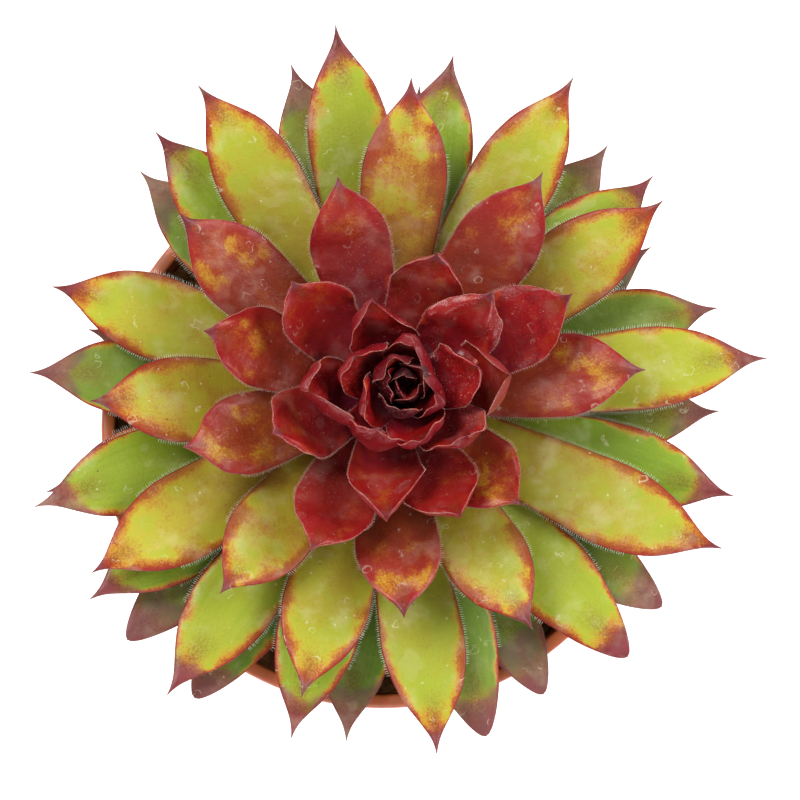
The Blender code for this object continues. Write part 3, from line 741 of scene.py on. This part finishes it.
def soilPaint():
    tree, given, result = newGroup("pottingMix", (("Rough", 0.9),), paintOutputs)
    place = node(tree, "ShaderNodeTexCoord").outputs["Object"]
    kind = node(tree, "ShaderNodeAttribute", attribute_name="kind").outputs["Fac"]
    clods = grain(tree, place, 420, 5, 0.65)
    colour = ramp(tree, clods, ((0.30, linear(84, 54, 36)), (0.52, linear(128, 86, 58)),
                                (0.72, linear(166, 120, 84))))
    colour = mixColour(tree, remap(tree, kind, 0.2, 0.45), colour,
                       ramp(tree, clods, ((0.3, linear(66, 40, 24)), (0.7, linear(138, 96, 62)))))
    colour = mixColour(tree, remap(tree, kind, 0.7, 0.9), colour,
                       ramp(tree, clods, ((0.3, linear(196, 192, 184)), (0.7, linear(236, 234, 228)))))
    tree.links.new(colour, result["Colour"])
    rough = maths(tree, "ADD", given["Rough"], maths(tree, "MULTIPLY", clods, 0.1), True)
    tree.links.new(rough, result["Roughness"])
    tree.links.new(maths(tree, "ADD", clods, grain(tree, place, 1900, 3)), result["Height"])
    return tree


def addCrumbs(bm, outer):
    own = random.Random(soil["seed"])
    chip = bmesh.new()
    chip.verts.layers.float.new("kind")
    bmesh.ops.create_icosphere(chip, subdivisions=1, radius=0.5)
    for count, smallest, largest, value in soil["crumbs"]:
        for index in range(count):
            angle, radius = own.uniform(0, fullTurn), math.sqrt(own.uniform(0.03, 0.93)) * outer
            x, y = radius * math.cos(angle) * mm, radius * math.sin(angle) * mm
            size = own.uniform(smallest, largest) * mm
            flat = (1, 0.6, 0.35, 1) if value == 0.5 else (1, 0.85, 0.75, 1)
            lean = Matrix.Rotation(own.uniform(0, fullTurn), 4, "Z")
            lean = lean @ Matrix.Rotation(own.uniform(-0.5, 0.5), 4, "X")
            rest = Matrix.Translation((x, y, soil["top"] * mm + soilHeight(x, y) + size * 0.12))
            place = rest @ lean @ Matrix.Diagonal(flat) @ Matrix.Scale(size, 4)
            crumb = chip.copy()
            kind = crumb.verts.layers.float["kind"]
            for vert in crumb.verts:
                vert.co = place @ vert.co
                vert.co += noise.noise_vector(vert.co * 900) * size * 0.16
                vert[kind] = value
            addTo(bm, crumb)
    chip.free()


def makeSoil():
    hole, top = soil["holeRadius"], soil["top"]
    outer = innerRadius(top) - soil["clear"]
    rings = [hole + 0.6 + (outer - hole - 0.6) * ring / soil["rings"] for ring in range(soil["rings"] + 1)]
    profile = [(0, soil["stemHole"]), (hole, soil["stemHole"]), (hole, top)]
    profile += [(radius, top) for radius in rings]
    profile += [(innerRadius(height) - soil["clear"], height) for height in (76.6, 75, 50, 25, 4.7)]
    profile += [(innerRadius(2.2) - 2.6, 2.5), (0, 2.5)]
    bm = turned(profile, soil["sides"])
    kind = bm.verts.layers.float.new("kind")
    for vert in bm.verts:
        radius = math.hypot(vert.co.x, vert.co.y) / mm
        follow = max(0, 1 - max(0, radius - hole) / (soil["follow"] * (outer - hole)))
        if vert.co.z > (soil["stemHole"] - 0.3) * mm and radius < outer:
            vert.co.x += rosette["x"] * mm * follow
            vert.co.y += rosette["y"] * mm * follow
        if vert.co.z > (top - 0.3) * mm and radius > hole + 0.3:
            vert.co.z += soilHeight(vert.co.x, vert.co.y)
    addCrumbs(bm, outer)
    material = newMaterial("soil", soilPaint(), {"Rough": 0.88}, {"Specular IOR Level": 0.25}, (0.7, 0.0004))
    piece = makePiece("pottingMix", bm, material, "soil")
    piece.data.set_sharp_from_angle(angle=math.radians(50))


makeSoil()


# Studio: a white floor and large soft lamps
studio = {
    "floor": 3.0, "drop": 0.0003, "world": 0.42,
    # place, size, power and tint of each lamp. All of them point at the plant.
    "lamps": (((-0.75, 0.55, 1.25), 0.7, 17, (1.0, 0.99, 0.97)),
              ((0.95, 0.35, 0.95), 0.6, 11, (0.98, 0.99, 1.0)),
              ((0.1, -1.1, 0.9), 0.7, 7.5, (1.0, 1.0, 1.0))),
}


def makeStudio():
    bm = bmesh.new()
    bmesh.ops.create_grid(bm, x_segments=1, y_segments=1, size=studio["floor"])
    mesh = bpy.data.meshes.new("floor")
    bm.to_mesh(mesh)
    bm.free()
    floor = bpy.data.objects.new("floor", mesh)
    bpy.context.scene.collection.objects.link(floor)
    paper = bpy.data.materials.new("paper")
    paper.use_nodes = True
    shader = paper.node_tree.nodes["Principled BSDF"]
    shader.inputs["Base Color"].default_value = (0.92, 0.92, 0.92, 1)
    shader.inputs["Roughness"].default_value = 0.9
    shader.inputs["Emission Color"].default_value = (1, 1, 1, 1)
    shader.inputs["Emission Strength"].default_value = 0.6
    tree = paper.node_tree                              # seen from below, the floor lets the base show
    below = node(tree, "ShaderNodeNewGeometry").outputs["Backfacing"]
    clear = node(tree, "ShaderNodeBsdfTransparent").outputs["BSDF"]
    either = node(tree, "ShaderNodeMixShader", {0: below, 1: shader.outputs["BSDF"], 2: clear})
    tree.links.new(either.outputs["Shader"], tree.nodes["Material Output"].inputs["Surface"])
    mesh.materials.append(paper)
    floor.location.z = -studio["drop"]
    scene = bpy.context.scene
    scene.world = bpy.data.worlds.new("studio")
    scene.world.use_nodes = True
    air = scene.world.node_tree.nodes["Background"]
    air.inputs["Color"].default_value = (1, 1, 1, 1)
    air.inputs["Strength"].default_value = studio["world"]
    for number, (place, size, power, tint) in enumerate(studio["lamps"]):
        data = bpy.data.lights.new(f"lamp{number}", "AREA")
        data.shape, data.size, data.energy, data.color = "SQUARE", size, power, tint
        lamp = bpy.data.objects.new(f"lamp{number}", data)
        scene.collection.objects.link(lamp)
        lamp.location = place
        lamp.rotation_euler = (Vector((0, 0, 0.1)) - Vector(place)).to_track_quat("-Z", "Y").to_euler()
    scene.view_settings.view_transform = "Standard"


makeStudio()
print("studio lit")
